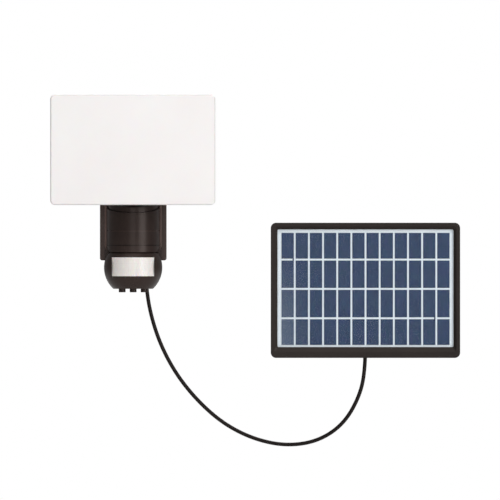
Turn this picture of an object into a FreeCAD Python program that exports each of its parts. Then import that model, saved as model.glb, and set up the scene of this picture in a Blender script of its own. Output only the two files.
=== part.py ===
import FreeCAD, Part
import math
import os

from FreeCAD import Vector

# A solar flood light: a wall lamp with a panning and tilting light head, a ball-shaped motion sensor
# under its neck, and a separate solar panel on its own wall foot, joined by a hanging cable.
# Millimetres. The wall is the plane y = 0, the object faces -Y, and z = 0 is the middle of the lamp's base.

# ---- lamp base -----------------------------------------------------------------------------------
BASE_HALF_W = 36.4
BASE_HALF_H = 57.5
BASE_DEPTH = 40.0
BASE_CORNER = 2.4
BASE_WALL = 2.4
TRAY_DEPTH = 14.0
SEAL_T = 1.2
BRACKET_HALF_W = 30.0
BRACKET_HALF_H = 45.0
BRACKET_T = 2.0
WALL_HOLE_R = 2.5
WALL_HOLE_X = 20.0
WALL_HOLE_Z = 32.0
DRIVER_HOLE_R = 5.0
BASE_SCREW_X = 30.4
BASE_SCREW_Z = 51.8
BASE_SCREW_SEAT_Y = -2.5
BASE_POST_R = 3.2

# ---- neck ----------------------------------------------------------------------------------------
AXIS_Y = -50.0
NECK_R = 28.6
NECK_WALL = 2.3
NECK_BOTTOM_Z = -50.6
NECK_CORNER = 10.0
NECK_LIP_Z = -48.4
NECK_RIM_Z = -5.65
NECK_SLOPE = math.tan(math.radians(11.0))
FLANGE_HALF_W = 31.25
FLANGE_T = 3.0
FLANGE_TOP_Z = 26.0
SEAM_Z = -24.9
GROOVE_Z = -41.0
GROOVE_HEIGHT = 0.8
GROOVE_DEPTH = 0.6
FLOOR_TOP_Z = -16.0
FLOOR_T = 3.0
ALCOVE_TOP_Z = 20.2

# ---- turret and arm ------------------------------------------------------------------------------
TURRET_GAP = 0.3
TURRET_R = 27.2
TURRET_RIM_Z = 1.4
TURRET_WALL = 2.5
TURRET_GROOVE_LOW = -5.45
TURRET_GROOVE_HIGH = -4.35
TURRET_GROOVE_DEPTH = 1.4
SPINDLE_R = 8.0
RUN_GAP = 0.05
ARM_HALF_W = 12.0
ARM_HALF_T = 6.0
ARM_Y = -60.0
ARM_BEND_R = 24.0
WASHER_T = 1.0
BRACKET_EAR_T = 3.5
KNOB_R = 9.5
KNOB_LENGTH = 12.0
BOLT_REACH = 9.0
HINGE_Y = -86.0
HINGE_Z = 40.0
BARREL_R = 8.0
BOLT_R = 3.0

# ---- light head ----------------------------------------------------------------------------------
HEAD_HALF_W = 90.0
HEAD_BOTTOM_Z = 3.0
HEAD_H = 120.4
HEAD_CORNER = 5.0
HEAD_FRONT_Y = -122.0
HEAD_BACK_Y = -98.0
DIFFUSER_DEPTH = 16.0
DIFFUSER_WALL = 2.2
HEAD_SEAL_T = 1.0
HEAD_SCREW_X = 83.6
HEAD_SCREW_Z = 53.8
HEAD_POST_R = 3.2
WEB_DEPTH = 6.0
BACK_WALL = 2.5
BOARD_HALF_W = 79.0
BOARD_HALF_H = 52.0
BOARD_T = 1.6
BOARD_SCREW_X = 74.0
BOARD_SCREW_Z = 48.0
REFLECTOR_T = 0.6
LED_COLUMNS = 8
LED_ROWS = 5
LED_PITCH_X = 19.0
LED_PITCH_Z = 20.0

# ---- motion sensor -------------------------------------------------------------------------------
BALL_Z = -65.2
BALL_R = 31.9
BALL_WALL = 2.2
BALL_GROOVE_LOW = -49.9
BALL_GROOVE_HIGH = -48.2
BALL_GROOVE_DEPTH = 1.4
RECESS_R = 32.4
RECESS_WALL = 2.1
CHIN_Z = -88.6
LENS_R = 30.3
LENS_T = 1.5
LENS_HALF_W = 23.2
LENS_TOP_Z = -54.2
LENS_BOTTOM_Z = -74.8
YOKE_OUTER_R = 28.2
YOKE_INNER_R = 25.0
YOKE_HALF_Y = 5.0
YOKE_SPINDLE_R = 5.0
SENSOR_TILT_UP = 10.0
SENSOR_TILT_DOWN = 20.0
PIVOT_R = 3.0
DIAL_R = 3.75
DIAL_SLOT_HALF = 0.5
DIAL_SLOT_DEPTH = 1.0
DIAL_PITCH = 12.0
DIAL_BOTTOM_Z = -92.4
DIAL_NAMES = ("time_dial", "dusk_dial", "range_dial")

# ---- solar panel ---------------------------------------------------------------------------------
PANEL_X = 254.0
PANEL_Z = -90.15
PANEL_HALF_W = 103.4
PANEL_HALF_H = 73.85
PANEL_CORNER = 5.8
PANEL_FRONT_Y = -98.0
PANEL_DEPTH = 17.0
RIM_SIDE = 4.0
RIM_BOTTOM = 6.4
BEVEL_SIDE = 3.3
BEVEL_BOTTOM = 5.5
BEVEL_DEPTH = 2.0
WINDOW_CORNER = 1.5
GLASS_T = 2.0
CELL_COLUMNS = 12
CELL_W = 13.45
CELL_PITCH = 15.465
CELL_SHIFT_X = 0.1
CELL_GAP_Z = 2.1
CELL_T = 0.4
CELL_TOP_Z = -27.4
CELL_HEIGHTS = (28.1, 29.9, 30.0, 28.1)
RIBBON_HALF_W = 0.8
RIBBON_T = 0.2
SHEET_T = 1.0
COVER_T = 3.0
PANEL_SCREW_X = 96.0
PANEL_SCREW_Z = 66.0

# ---- solar bracket -------------------------------------------------------------------------------
PIVOT_X = 254.0
PIVOT_Y = -70.0
TILT_Y = -30.0
TILT_Z = -80.0
FOOT_HALF_W = 25.0
FOOT_HALF_H = 35.0
FOOT_T = 4.0
FOOT_HOLE_X = 17.0
FOOT_HOLE_Z = 27.0
EAR_R = 9.0
EAR_T = 5.0
BOX_HALF_W = 19.0
BOX_LOW_Z = -138.0
BOX_HIGH_Z = -108.0
BOX_BACK_Y = -61.0
BOX_WALL = 2.0
LID_BACK_Y = -58.5
PASSAGE_R = 4.0
PASSAGE_Z = -120.0
FOOT_BARREL_HALF = 8.0
ARM_BARREL_HALF = 8.0
PAN_BARREL_R = 7.0

# ---- cable: a list of route points, straight out of each gland and hanging in one loop ---------------
CABLE_D = 4.2
GLAND_R = 3.9
GLAND_COLLAR_R = 4.5
GLAND_TIP_R = 2.7
BASE_GLAND = (13.9, -9.0, -70.0)
PANEL_GLAND_Z = -150.0
CABLE_ROUTE = [
    BASE_GLAND,
    (13.9, -9.0, -87.0),
    (19.5, -10.5, -119.5),
    (31.0, -13.5, -153.0),
    (48.5, -17.0, -184.5),
    (71.5, -23.0, -212.5),
    (99.0, -30.0, -236.5),
    (131.5, -38.5, -253.0),
    (167.0, -47.5, -260.5),
    (202.0, -56.5, -255.5),
    (230.5, -64.5, -236.5),
    (248.5, -69.0, -204.5),
    (PIVOT_X, PIVOT_Y, -174.5),
    (PIVOT_X, PIVOT_Y, PANEL_GLAND_Z),
]

CLEAR = 0.3
MIRROR = (-1, 1)


# ---- helpers -------------------------------------------------------------------------------------
def block(x0, x1, y0, y1, z0, z1):
    return Part.makeBox(x1 - x0, y1 - y0, z1 - z0, Vector(x0, y0, z0))


def rod_x(r, y, z, x0, x1):
    return Part.makeCylinder(r, x1 - x0, Vector(x0, y, z), Vector(1, 0, 0))


def rod_y(r, x, z, y0, y1):
    return Part.makeCylinder(r, y1 - y0, Vector(x, y0, z), Vector(0, 1, 0))


def rod_z(r, x, y, z0, z1):
    return Part.makeCylinder(r, z1 - z0, Vector(x, y, z0), Vector(0, 0, 1))


def edges_where(shape, test):
    return [e for e in shape.Edges if test(e)]


def runs_along(edge, axis):
    """True for a straight edge parallel to one of the axes 0, 1 or 2."""
    if not isinstance(edge.Curve, (Part.Line, Part.LineSegment)):
        return False
    step = edge.Vertexes[-1].Point.sub(edge.Vertexes[0].Point)
    parts = [abs(step.x), abs(step.y), abs(step.z)]
    return parts[axis] > 0.999 * step.Length


def in_plane(edge, axis, value):
    """True for an edge that lies in the plane where the axis coordinate is the value."""
    box = edge.BoundBox
    low = (box.XMin, box.YMin, box.ZMin)[axis]
    high = (box.XMax, box.YMax, box.ZMax)[axis]
    return abs(low - value) < 0.01 and abs(high - value) < 0.01


def plate(x0, x1, z0, z1, y0, y1, corner):
    """A rectangle in the XZ plane with round corners, drawn out along Y."""
    shape = block(x0, x1, y0, y1, z0, z1)
    return shape.makeFillet(corner, edges_where(shape, lambda e: runs_along(e, 1)))


def soften(shape, radius, y):
    """Round the edges that lie in the plane y."""
    return shape.makeFillet(radius, edges_where(shape, lambda e: in_plane(e, 1, y)))


def prism_x(points, x0, x1):
    """A polygon of (y, z) points drawn out along X."""
    corners = [Vector(x0, y, z) for y, z in points]
    face = Part.Face(Part.makePolygon(corners + corners[:1]))
    return face.extrude(Vector(x1 - x0, 0, 0))


def above_slope(front_y, front_z):
    """Everything above the sloping plane that rises to the rear through the given front point."""
    far, near, top = -140.0, 10.0, 200.0
    low = front_z + (far - front_y) * NECK_SLOPE
    high = front_z + (near - front_y) * NECK_SLOPE
    return prism_x([(far, low), (near, high), (near, top), (far, top)], -80.0, 80.0)


def merge(first, *others):
    return first.fuse(list(others)).removeSplitter()


def group(shapes):
    return Part.makeCompound(shapes)


def screw_y(x, z, seat_y, length, head_r, shank_r, towards):
    """A pan-head screw along Y with its head seated at seat_y and its shank running towards -1 or +1."""
    head_h = 0.7 * head_r
    head_span = sorted((seat_y, seat_y - towards * head_h))
    shank_span = sorted((seat_y, seat_y + towards * length))
    head = rod_y(head_r, x, z, head_span[0], head_span[1])
    outer_y = seat_y - towards * head_h
    head = soften(head, 0.25 * head_r, outer_y)
    slot_span = sorted((outer_y, outer_y + towards * 0.4 * head_h))
    cross = block(x - 0.25 * head_r, x + 0.25 * head_r, slot_span[0], slot_span[1], z - head_r, z + head_r)
    return merge(head.cut(cross), rod_y(shank_r, x, z, shank_span[0], shank_span[1]))


def clamp_knob(x0, x1, y, z, radius):
    """A scalloped clamp nut about an axis along X, with a bore that leaves its outer end closed."""
    body = rod_x(radius, y, z, x0, x1)
    body = body.makeFillet(1.0, edges_where(body, lambda e: in_plane(e, 0, x1)))
    lobes = 8
    for i in range(lobes):
        turn = 2 * math.pi * i / lobes
        notch_y = y + 1.22 * radius * math.cos(turn)
        notch_z = z + 1.22 * radius * math.sin(turn)
        body = body.cut(rod_x(0.35 * radius, notch_y, notch_z, x0, x1))
    return body.cut(rod_x(BOLT_R + RUN_GAP, y, z, x0, x1 - 2.5))


def hinge_bolt(y, z, left, right):
    """A hex-headed bolt along X from its head at the left ear to its free end inside the knob."""
    head_t = 3.5
    points = []
    for i in range(6):
        turn = math.radians(60 * i)
        points.append((y + 5.5 * math.cos(turn), z + 5.5 * math.sin(turn)))
    return merge(prism_x(points, left - head_t, left), rod_x(BOLT_R, y, z, left, right))


# ---- lamp base -----------------------------------------------------------------------------------
def wall_holes(radius, y0, y1):
    return [rod_y(radius, sx * WALL_HOLE_X, sz * WALL_HOLE_Z, y0, y1) for sx in MIRROR for sz in MIRROR]


def make_wall_bracket():
    shape = plate(-BRACKET_HALF_W, BRACKET_HALF_W, -BRACKET_HALF_H, BRACKET_HALF_H, -BRACKET_T, 0.0, 4.0)
    window = plate(-12.0, 12.0, -14.0, 14.0, -BRACKET_T, 0.0, 4.0)
    return shape.cut(wall_holes(WALL_HOLE_R, -BRACKET_T, 0.0) + [window])


def base_screw_rods(radius, y0, y1):
    return [rod_y(radius, sx * BASE_SCREW_X, sz * BASE_SCREW_Z, y0, y1) for sx in MIRROR for sz in MIRROR]


def base_outline(inset, y0, y1):
    w = BASE_HALF_W - inset
    h = BASE_HALF_H - inset
    return plate(-w, w, -h, h, y0, y1, max(BASE_CORNER - inset, 0.8))


def make_base_tray():
    floor_front = -BRACKET_T - BASE_WALL
    shape = base_outline(0.0, -TRAY_DEPTH, 0.0)
    front = base_outline(BASE_WALL, -TRAY_DEPTH, floor_front)
    pocket = plate(-BRACKET_HALF_W, BRACKET_HALF_W, -BRACKET_HALF_H, BRACKET_HALF_H, -BRACKET_T, 0.0, 4.0)
    bushing = rod_z(GLAND_R, BASE_GLAND[0], BASE_GLAND[1], -BASE_HALF_H, -BASE_HALF_H + BASE_WALL)
    shape = shape.cut([front, pocket, bushing] + wall_holes(DRIVER_HOLE_R, floor_front, -BRACKET_T))
    shape = merge(shape, *base_screw_rods(BASE_POST_R, -TRAY_DEPTH, floor_front))
    return shape.cut(base_screw_rods(1.3, -TRAY_DEPTH, 0.0) + base_screw_rods(2.5, BASE_SCREW_SEAT_Y, 0.0))


def make_base_seal():
    outer = base_outline(0.5, -TRAY_DEPTH - SEAL_T, -TRAY_DEPTH)
    return outer.cut(base_outline(BASE_WALL - 0.2, -TRAY_DEPTH - SEAL_T, -TRAY_DEPTH))


def neck_solid(radius, corner, bottom_z, top_z):
    """A half cylinder about the turning axis with straight sides running back to the base's front."""
    shape = rod_z(radius, 0.0, AXIS_Y, bottom_z, top_z)
    shape = merge(shape, block(-radius, radius, AXIS_Y, 1.0 - BASE_DEPTH, bottom_z, top_z))
    outline = plate(-radius, radius, bottom_z, top_z + 2 * corner, AXIS_Y - radius, 1.0 - BASE_DEPTH, corner)
    return shape.common(outline)


def base_body():
    shell_back = -TRAY_DEPTH - SEAL_T
    box = soften(base_outline(0.0, -BASE_DEPTH, shell_back), 1.2, -BASE_DEPTH)
    flange_front = -BASE_DEPTH - FLANGE_T
    flange = plate(-FLANGE_HALF_W, FLANGE_HALF_W, NECK_BOTTOM_Z, FLANGE_TOP_Z,
                   flange_front, 1.0 - BASE_DEPTH, NECK_CORNER)
    flange = soften(flange, 1.4, flange_front)
    neck = neck_solid(NECK_R, NECK_CORNER, NECK_BOTTOM_Z, ALCOVE_TOP_Z)
    under_lip = block(-40.0, 40.0, -100.0, flange_front, -70.0, NECK_LIP_Z)
    neck = neck.cut([above_slope(AXIS_Y - NECK_R, NECK_RIM_Z), under_lip])
    return merge(box, flange, neck)


def base_cavity():
    """The hollow inside the base and neck, short of the turret's well and the ball's recess."""
    shell_back = -TRAY_DEPTH - SEAL_T
    inner = base_outline(BASE_WALL, BASE_WALL - BASE_DEPTH, shell_back)
    neck = neck_solid(NECK_R - NECK_WALL, NECK_CORNER - NECK_WALL, NECK_BOTTOM_Z + NECK_WALL,
                      FLOOR_TOP_Z - FLOOR_T)
    well_r = TURRET_R + TURRET_GAP + NECK_WALL
    well = rod_z(well_r, 0.0, AXIS_Y, FLOOR_TOP_Z - FLOOR_T, ALCOVE_TOP_Z + NECK_WALL)
    recess = ball_solid(RECESS_R + RECESS_WALL)
    return merge(inner, neck).cut([well, recess])


def seam_groove(z):
    half = GROOVE_HEIGHT / 2
    ring = rod_z(NECK_R + 1.0, 0.0, AXIS_Y, z - half, z + half)
    ring = ring.cut(rod_z(NECK_R - GROOVE_DEPTH, 0.0, AXIS_Y, z - half, z + half))
    return ring.common(block(-40.0, 40.0, -100.0, AXIS_Y, z - half, z + half))


def make_base_shells():
    """The front housing and the lower neck cover that carries the sensor."""
    shell = base_body().cut(base_cavity())
    shell = merge(shell, *base_screw_rods(BASE_POST_R, 1.0 - BASE_DEPTH, -TRAY_DEPTH - SEAL_T))
    bore_r = TURRET_R + TURRET_GAP
    tools = [
        rod_z(bore_r, 0.0, AXIS_Y, FLOOR_TOP_Z, ALCOVE_TOP_Z),
        rod_z(SPINDLE_R + RUN_GAP, 0.0, AXIS_Y, FLOOR_TOP_Z - FLOOR_T, FLOOR_TOP_Z),
        ball_solid(RECESS_R),
        rod_z(YOKE_SPINDLE_R + RUN_GAP, 0.0, AXIS_Y, BALL_Z + 20.0, FLOOR_TOP_Z - FLOOR_T),
        block(-10.0, 10.0, 0.5 - BASE_DEPTH, 3.0 - BASE_DEPTH, -30.0, FLOOR_TOP_Z - FLOOR_T),
        seam_groove(SEAM_Z),
        seam_groove(GROOVE_Z),
    ]
    shell = shell.cut(tools + base_screw_rods(1.3, -24.0, -TRAY_DEPTH - SEAL_T))
    cover_back = -BASE_DEPTH - FLANGE_T - 0.2
    lower = block(-40.0, 40.0, -100.0, cover_back, -70.0, SEAM_Z)
    return shell.cut(lower), shell.common(lower)


def make_base_screws():
    places = [(sx * BASE_SCREW_X, sz * BASE_SCREW_Z) for sx in MIRROR for sz in MIRROR]
    return group([screw_y(x, z, BASE_SCREW_SEAT_Y, 20.0, 2.4, 1.3, -1) for x, z in places])


def make_battery_cells():
    cells = []
    for z in (31.2, 46.6):
        can = rod_x(7.25, -26.5, z, -24.8, 23.8)
        cells.append(merge(can, rod_x(2.7, -26.5, z, 23.8, 25.0)))
    return group(cells)


def make_battery_holder():
    shape = block(-26.6, 26.6, -34.5, -22.0, 23.0, 54.6)
    bays = [rod_x(7.45, -26.5, z, -25.2, 25.2) for z in (31.2, 46.6)]
    mouth = block(-25.2, 25.2, -26.5, -15.0, 24.2, 53.6)
    return shape.cut(bays + [mouth])


def make_charge_board():
    """The charge controller with its soldered parts: chips, a choke and a capacitor."""
    board = plate(-28.0, 28.0, -24.0, 40.0, -9.6, -8.0, 2.0)
    parts = [
        block(-20.0, -12.0, -12.6, -9.6, -10.0, 2.0),
        block(-4.0, 2.0, -11.4, -9.6, -12.0, -2.0),
        block(8.0, 16.0, -13.0, -9.6, 8.0, 20.0),
        block(-18.0, -10.0, -11.8, -9.6, 14.0, 22.0),
        rod_y(3.2, 18.0, -12.0, -13.4, -9.6),
    ]
    return merge(board, *parts)


def gland(x, y, wall_z, wall_t, tip_z):
    """A rubber bushing in a floor wall with a collar inside and a tapered strain relief below."""
    collar = rod_z(GLAND_COLLAR_R, x, y, wall_z + wall_t, wall_z + wall_t + 1.6)
    plug = rod_z(GLAND_R, x, y, wall_z, wall_z + wall_t)
    taper = Part.makeCone(GLAND_TIP_R, GLAND_R, wall_z - tip_z, Vector(x, y, tip_z), Vector(0, 0, 1))
    return merge(collar, plug, taper)


# ---- turret and arm ------------------------------------------------------------------------------
def turret_outer(radius, bottom_z, drop):
    shape = rod_z(radius, 0.0, AXIS_Y, bottom_z, ALCOVE_TOP_Z + 10.0)
    return shape.cut(above_slope(AXIS_Y - TURRET_R, TURRET_RIM_Z - drop))


def turret_groove(bottom):
    """A slanted groove round the turret just above the neck's rim."""
    below_top = turret_outer(TURRET_R + 1.0, bottom, TURRET_RIM_Z - TURRET_GROOVE_HIGH)
    below_low = turret_outer(TURRET_R + 2.0, bottom, TURRET_RIM_Z - TURRET_GROOVE_LOW)
    core = turret_outer(TURRET_R - TURRET_GROOVE_DEPTH, bottom, 0.0)
    return below_top.cut([below_low, core])


def make_turret():
    bottom = FLOOR_TOP_Z + TURRET_GAP
    outer = turret_outer(TURRET_R, bottom, 0.0)
    rim = edges_where(outer, lambda e: e.BoundBox.ZMax - e.BoundBox.ZMin > 5.0 and e.BoundBox.XMax > 20.0
                      and not runs_along(e, 2))
    outer = outer.makeFillet(1.5, rim)
    hollow = turret_outer(TURRET_R - TURRET_WALL, bottom, TURRET_WALL + 0.2)
    boss_z = FLOOR_TOP_Z - FLOOR_T - 5.5
    boss = turret_outer(SPINDLE_R, boss_z, 0.5)
    bore = turret_outer(SPINDLE_R / 2, boss_z, TURRET_WALL)
    return merge(outer.cut([hollow, turret_groove(bottom)]), boss).cut(bore)


def make_pan_nut():
    top = FLOOR_TOP_Z - FLOOR_T - TURRET_GAP
    ring = rod_z(10.2, 0.0, AXIS_Y, top - 3.5, top)
    return ring.cut(rod_z(SPINDLE_R, 0.0, AXIS_Y, top - 3.5, top))


def make_arm():
    """A swan-neck bracket: up from the turret, then forward in a quarter turn to the tilt barrel."""
    bend_y = ARM_Y - ARM_BEND_R
    bend_z = HINGE_Z - ARM_BEND_R
    outer_r = ARM_BEND_R + ARM_HALF_T
    inner_r = ARM_BEND_R - ARM_HALF_T
    quarter = block(-ARM_HALF_W, ARM_HALF_W, bend_y, bend_y + outer_r, bend_z, bend_z + outer_r)
    bend = rod_x(outer_r, bend_y, bend_z, -ARM_HALF_W, ARM_HALF_W).common(quarter)
    bend = bend.cut(rod_x(inner_r, bend_y, bend_z, -ARM_HALF_W, ARM_HALF_W))
    post = block(-ARM_HALF_W, ARM_HALF_W, ARM_Y - ARM_HALF_T, ARM_Y + ARM_HALF_T, -10.0, bend_z)
    tip = block(-ARM_HALF_W, ARM_HALF_W, HINGE_Y, bend_y, HINGE_Z - ARM_HALF_T, HINGE_Z + ARM_HALF_T)
    shape = merge(bend, post, tip, rod_x(BARREL_R, HINGE_Y, HINGE_Z, -ARM_HALF_W, ARM_HALF_W))
    sides = edges_where(shape, lambda e: abs(abs(e.CenterOfMass.x) - ARM_HALF_W) < 0.01
                        and e.CenterOfMass.z < HINGE_Z + 7.0 and e.CenterOfMass.y > HINGE_Y + 1.0
                        and e.BoundBox.ZMin > -12.0 and e.Length > 4.0)
    shape = shape.makeFillet(2.0, sides)
    shape = shape.cut(rod_x(BOLT_R + RUN_GAP, HINGE_Y, HINGE_Z, -ARM_HALF_W, ARM_HALF_W))
    keep = above_slope(AXIS_Y - TURRET_R, TURRET_RIM_Z)
    return shape.common(keep)


# ---- light head ----------------------------------------------------------------------------------
def head_outline(inset, y0, y1):
    w = HEAD_HALF_W - inset
    z0 = HEAD_BOTTOM_Z + inset
    z1 = HEAD_BOTTOM_Z + HEAD_H - inset
    return plate(-w, w, z0, z1, y0, y1, max(HEAD_CORNER - inset, 1.0))


def head_screw_places():
    mid = HEAD_BOTTOM_Z + HEAD_H / 2
    return [(sx * HEAD_SCREW_X, mid + level * HEAD_SCREW_Z) for sx in MIRROR for level in (-1, 0, 1)]


def make_diffuser():
    back = HEAD_FRONT_Y + DIFFUSER_DEPTH
    shape = soften(head_outline(0.0, HEAD_FRONT_Y, back), 1.6, HEAD_FRONT_Y)
    shape = shape.cut(head_outline(DIFFUSER_WALL, HEAD_FRONT_Y + DIFFUSER_WALL, back))
    supports = []
    for x, z in head_screw_places():
        x0, x1 = sorted((x, math.copysign(HEAD_HALF_W - 1.0, x)))
        supports.append(rod_y(HEAD_POST_R, x, z, back - WEB_DEPTH, back))
        supports.append(block(x0, x1, back - WEB_DEPTH, back, z - 1.0, z + 1.0))
    shape = merge(shape, *supports)
    return shape.cut([rod_y(1.4, x, z, back - WEB_DEPTH + 1.0, back) for x, z in head_screw_places()])


def make_head_seal():
    back = HEAD_FRONT_Y + DIFFUSER_DEPTH + HEAD_SEAL_T
    shape = head_outline(0.7, back - HEAD_SEAL_T, back)
    return shape.cut(head_outline(2.4, back - HEAD_SEAL_T, back))


def make_head_back():
    front = HEAD_FRONT_Y + DIFFUSER_DEPTH + HEAD_SEAL_T
    shape = head_outline(0.6, front, HEAD_BACK_Y)
    rim = edges_where(shape, lambda e: in_plane(e, 1, HEAD_BACK_Y))
    shape = shape.makeChamfer(2.5, rim)
    shape = shape.cut(head_outline(3.0, front, HEAD_BACK_Y - BACK_WALL))
    posts = [rod_y(HEAD_POST_R, x, z, front, HEAD_BACK_Y - BACK_WALL) for x, z in head_screw_places()]
    posts += [rod_y(3.0, x, z, led_board_y(), HEAD_BACK_Y - BACK_WALL) for x, z in board_screw_places()]
    shape = merge(shape, *posts)
    holes = [rod_y(1.4, x, z, front, HEAD_BACK_Y) for x, z in head_screw_places()]
    holes += [rod_y(1.2, x, z, led_board_y(), led_board_y() + 1.4) for x, z in board_screw_places()]
    return shape.cut(holes)


def led_board_y():
    """Rear face of the LED board."""
    return HEAD_BACK_Y - 4.0


def board_screw_places():
    mid = HEAD_BOTTOM_Z + HEAD_H / 2
    return [(sx * BOARD_SCREW_X, mid + sz * BOARD_SCREW_Z) for sx in MIRROR for sz in MIRROR]


def board_plate(y0, y1):
    mid = HEAD_BOTTOM_Z + HEAD_H / 2
    return plate(-BOARD_HALF_W, BOARD_HALF_W, mid - BOARD_HALF_H, mid + BOARD_HALF_H, y0, y1, 3.0)


def make_led_board():
    front = led_board_y() - BOARD_T
    holes = [rod_y(1.2, x, z, front, led_board_y()) for x, z in board_screw_places()]
    return board_plate(front, led_board_y()).cut(holes)


def led_places():
    mid = HEAD_BOTTOM_Z + HEAD_H / 2
    places = []
    for i in range(LED_COLUMNS):
        for j in range(LED_ROWS):
            x = (i - (LED_COLUMNS - 1) / 2) * LED_PITCH_X
            z = mid + (j - (LED_ROWS - 1) / 2) * LED_PITCH_Z
            places.append((x, z))
    return places


def make_led_chips():
    y = led_board_y() - BOARD_T
    return group([block(x - 1.4, x + 1.4, y - 0.8, y, z - 1.75, z + 1.75) for x, z in led_places()])


def make_reflector():
    y = led_board_y() - BOARD_T
    front = y - REFLECTOR_T
    holes = [block(x - 2.4, x + 2.4, front, y, z - 2.8, z + 2.8) for x, z in led_places()]
    holes += [rod_y(2.6, x, z, front, y) for x, z in board_screw_places()]
    return board_plate(front, y).cut(holes)


def make_board_screws():
    seat = led_board_y() - BOARD_T
    return group([screw_y(x, z, seat, 2.6, 2.2, 1.2, 1) for x, z in board_screw_places()])


def make_head_screws():
    return group([screw_y(x, z, HEAD_BACK_Y, 11.0, 2.6, 1.4, -1) for x, z in head_screw_places()])


def make_head_bracket():
    """A steel plate on the head's back with two ears that straddle the arm's barrel."""
    plate_y = HEAD_BACK_Y + 2.0
    shape = plate(-22.0, 22.0, HINGE_Z - 18.0, HINGE_Z + 18.0, HEAD_BACK_Y, plate_y, 3.0)
    ear_in = ARM_HALF_W + CLEAR + WASHER_T
    ear_out = ear_in + BRACKET_EAR_T
    ears = []
    for sx in MIRROR:
        x0, x1 = sorted((sx * ear_in, sx * ear_out))
        ears.append(block(x0, x1, plate_y, HINGE_Y, HINGE_Z - 8.5, HINGE_Z + 8.5))
        ears.append(rod_x(8.5, HINGE_Y, HINGE_Z, x0, x1))
    shape = merge(shape, *ears)
    holes = [rod_x(BOLT_R, HINGE_Y, HINGE_Z, -ear_out, ear_out)]
    holes += [rod_y(1.6, x, z, HEAD_BACK_Y, plate_y) for x, z in bracket_screw_places()]
    return shape.cut(holes)


def bracket_screw_places():
    return [(sx * 17.0, HINGE_Z + sz * 14.0) for sx in MIRROR for sz in MIRROR]


def make_bracket_screws():
    seat = HEAD_BACK_Y + 2.0
    return group([screw_y(x, z, seat, 2.0, 2.6, 1.6, -1) for x, z in bracket_screw_places()])


def make_tilt_washers():
    rings = []
    for sx in MIRROR:
        x0, x1 = sorted((sx * (ARM_HALF_W + CLEAR), sx * (ARM_HALF_W + CLEAR + WASHER_T)))
        rings.append(rod_x(7.5, HINGE_Y, HINGE_Z, x0, x1).cut(rod_x(BOLT_R, HINGE_Y, HINGE_Z, x0, x1)))
    return group(rings)


# ---- motion sensor -------------------------------------------------------------------------------
def ball_solid(radius):
    """A sphere about the tilt centre, with its seam turned to the rear."""
    centre = Vector(0, AXIS_Y, BALL_Z)
    shape = Part.makeSphere(radius, centre)
    shape.rotate(centre, Vector(0, 0, 1), 90)
    return shape


def chin_cut(z):
    return block(-60.0, 60.0, AXIS_Y - 60.0, AXIS_Y + 60.0, z - 40.0, z)


def lens_outline(radius):
    body = rod_z(radius, 0.0, AXIS_Y, LENS_BOTTOM_Z, LENS_TOP_Z)
    front = block(-LENS_HALF_W, LENS_HALF_W, AXIS_Y - 40.0, AXIS_Y - 15.0, LENS_BOTTOM_Z, LENS_TOP_Z)
    return body.common(front)


def dial_x(index):
    return (index - 1) * DIAL_PITCH


def ball_shell():
    shape = ball_solid(BALL_R).cut(chin_cut(CHIN_Z))
    shape = shape.cut(ball_solid(BALL_R - BALL_WALL).cut(chin_cut(CHIN_Z + BALL_WALL)))
    bosses = []
    for sx in MIRROR:
        x0, x1 = sorted((sx * (YOKE_OUTER_R + CLEAR), sx * (BALL_R - 1.2)))
        bosses.append(rod_x(5.5, AXIS_Y, BALL_Z, x0, x1))
    shape = merge(shape, *bosses)
    tools = [rod_x(PIVOT_R + RUN_GAP, AXIS_Y, BALL_Z, -BALL_R + 0.8, BALL_R - 0.8)]
    tools += [rod_z(DIAL_R + 0.07, dial_x(i), AXIS_Y, CHIN_Z - 1.0, CHIN_Z + 4.0) for i in range(3)]
    tools += [crown_slot(), ball_groove()]
    return shape.cut(tools)


def ball_groove():
    """A groove round the ball just below the neck's lip."""
    slab = block(-60.0, 60.0, AXIS_Y - 60.0, AXIS_Y + 60.0, BALL_GROOVE_LOW, BALL_GROOVE_HIGH)
    skin = ball_solid(BALL_R + 1.0).cut(ball_solid(BALL_R - BALL_GROOVE_DEPTH))
    return skin.common(slab)


def crown_slot():
    """The slot in the ball's top that lets it tilt about the yoke's spindle."""
    half = YOKE_SPINDLE_R + 0.6
    spare = math.asin((YOKE_SPINDLE_R + 1.0) / (BALL_R - BALL_WALL))
    points = [(AXIS_Y, BALL_Z)]
    for turn in (-math.radians(SENSOR_TILT_UP) - spare, math.radians(SENSOR_TILT_DOWN) + spare):
        points.append((AXIS_Y + 50.0 * math.sin(turn), BALL_Z + 50.0 * math.cos(turn)))
    wedge = prism_x(points, -half, half)
    ends = block(-half, half, AXIS_Y - half, AXIS_Y + half, BALL_Z, BALL_Z + 50.0)
    band = merge(wedge, ends)
    return band.common(block(-half, half, -100.0, 0.0, BALL_Z + 22.0, BALL_Z + 50.0))


def sensor_screw_places():
    return [(sx * 19.5, BALL_Z - 12.0) for sx in MIRROR]


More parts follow.
